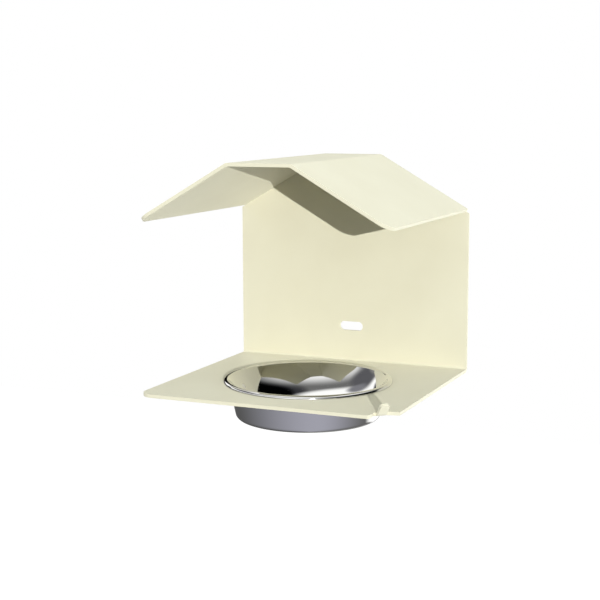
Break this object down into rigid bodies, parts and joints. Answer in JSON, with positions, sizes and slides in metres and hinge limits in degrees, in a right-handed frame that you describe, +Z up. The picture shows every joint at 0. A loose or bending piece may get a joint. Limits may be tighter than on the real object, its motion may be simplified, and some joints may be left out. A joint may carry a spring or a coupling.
{
  "type": "wall bird feeder",
  "caption": "Wall-hung bird feeder of folded sheet: back plate, shelf with a lift-out steel bowl, three-facet roof and a bent corner tongue.",
  "frame": {"origin": "centre of the wall slot, on the back plate's back face (the wall plane)", "axes": "+Z up, +X to the right seen from the front, +Y into the wall, so the shelf and roof reach out along -Y"},
  "size_m": [0.2, 0.1837, 0.2],
  "materials": {
    "powder_coat": "fine-textured ivory powder coat on folded steel sheet, satin",
    "bowl_steel": "bright polished drawn stainless steel"
  },
  "bodies": {
    "housing": {"backplate_shelf": "powder_coat", "roof": "powder_coat"},
    "bowl": {"bowl": "bowl_steel"}
  },
  "joints": [
    {"name": "bowl_lift", "type": "slide", "parent": "housing", "child": "bowl", "axis": [0, 0, 1], "range_m": [0, 0.045]}
  ]
}
